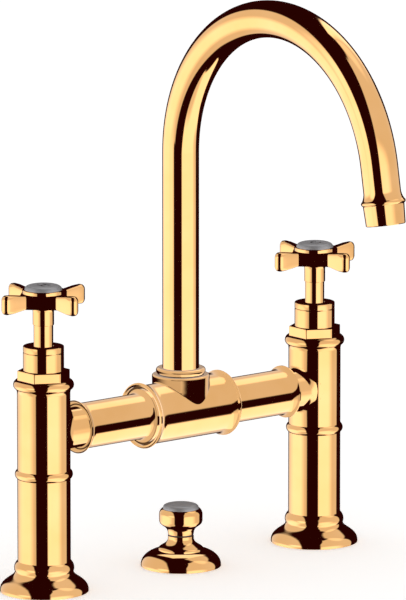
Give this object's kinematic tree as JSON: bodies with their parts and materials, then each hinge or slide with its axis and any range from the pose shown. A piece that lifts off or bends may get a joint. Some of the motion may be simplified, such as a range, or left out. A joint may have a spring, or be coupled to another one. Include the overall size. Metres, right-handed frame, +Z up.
{
  "type": "two-handle basin mixer",
  "caption": "Traditional bridge basin mixer with a swivelling gooseneck spout, cross handles on turned pillars and a pull knob for the waste.",
  "frame": {"origin": "where the pull rod meets the deck, halfway between the two pillars", "axes": "+X along the bridge to the right-hand pillar, -Y towards the user and along the spout, +Z up from the deck"},
  "size_m": [0.2584, 0.2155, 0.3348],
  "materials": {
    "polished_gold": "polished gold plate on brass",
    "plain_brass": "turned brass, unplated",
    "grey_inlay": "satin grey",
    "seal_rubber": "black EPDM",
    "alumina": "lapped alumina",
    "white_plastic": "acetal",
    "grey_plastic": "moulded",
    "stainless_steel": "stainless"
  },
  "bodies": {
    "mixer_body": {"left_flange": "polished_gold", "left_flange_seal": "seal_rubber", "left_pillar": "polished_gold", "left_bridge_arm": "polished_gold", "left_arm_seals": "seal_rubber", "left_seat_seal": "seal_rubber", "left_fixed_disc": "alumina", "left_headwork": "plain_brass", "left_headwork_gasket": "seal_rubber", "left_hex_nut": "polished_gold", "left_cover": "polished_gold", "right_flange": "polished_gold", "right_flange_seal": "seal_rubber", "right_pillar": "polished_gold", "right_bridge_arm": "polished_gold", "right_arm_seals": "seal_rubber", "right_seat_seal": "seal_rubber", "right_fixed_disc": "alumina", "right_headwork": "plain_brass", "right_headwork_gasket": "seal_rubber", "right_hex_nut": "polished_gold", "right_cover": "polished_gold", "tee_body": "polished_gold", "swivel_bush": "white_plastic", "spout_stop_screw": "stainless_steel", "pull_rod_base": "polished_gold", "pull_rod_base_seal": "seal_rubber", "pull_rod_bush": "white_plastic", "pull_rod_seal": "seal_rubber"},
    "left_handle": {"left_cross_handle": "polished_gold", "left_handle_cap": "grey_inlay", "left_handle_screw": "stainless_steel", "left_stem_adapter": "polished_gold", "left_spindle": "plain_brass", "left_spindle_seals": "seal_rubber", "left_spindle_clip": "stainless_steel", "left_moving_disc": "alumina"},
    "right_handle": {"right_cross_handle": "polished_gold", "right_handle_cap": "grey_inlay", "right_handle_screw": "stainless_steel", "right_stem_adapter": "polished_gold", "right_spindle": "plain_brass", "right_spindle_seals": "seal_rubber", "right_spindle_clip": "stainless_steel", "right_moving_disc": "alumina"},
    "spout": {"spout_tube": "polished_gold", "spout_foot": "polished_gold", "spout_foot_seals": "seal_rubber", "spout_glide_ring": "white_plastic", "aerator_housing": "polished_gold", "aerator_washer": "seal_rubber", "aerator_insert": "grey_plastic", "aerator_screen": "stainless_steel"},
    "pull_rod_and_knob": {"pull_rod": "plain_brass", "pull_knob": "polished_gold", "pull_knob_cap": "grey_inlay"}
  },
  "joints": [
    {"name": "left_handle_turn", "type": "hinge", "parent": "mixer_body", "child": "left_handle", "pos_m": [-0.1, 0, 0.1357], "axis": [0, 0, 1], "range_deg": [0, 180]},
    {"name": "right_handle_turn", "type": "hinge", "parent": "mixer_body", "child": "right_handle", "pos_m": [0.1, 0, 0.1357], "axis": [0, 0, 1], "range_deg": [0, 180]},
    {"name": "spout_swivel", "type": "hinge", "parent": "mixer_body", "child": "spout", "pos_m": [0, 0, 0.111], "axis": [0, 0, 1], "range_deg": [-60, 60]},
    {"name": "pull_rod_lift", "type": "slide", "parent": "mixer_body", "child": "pull_rod_and_knob", "axis": [0, 0, 1], "range_m": [0, 0.015]}
  ]
}
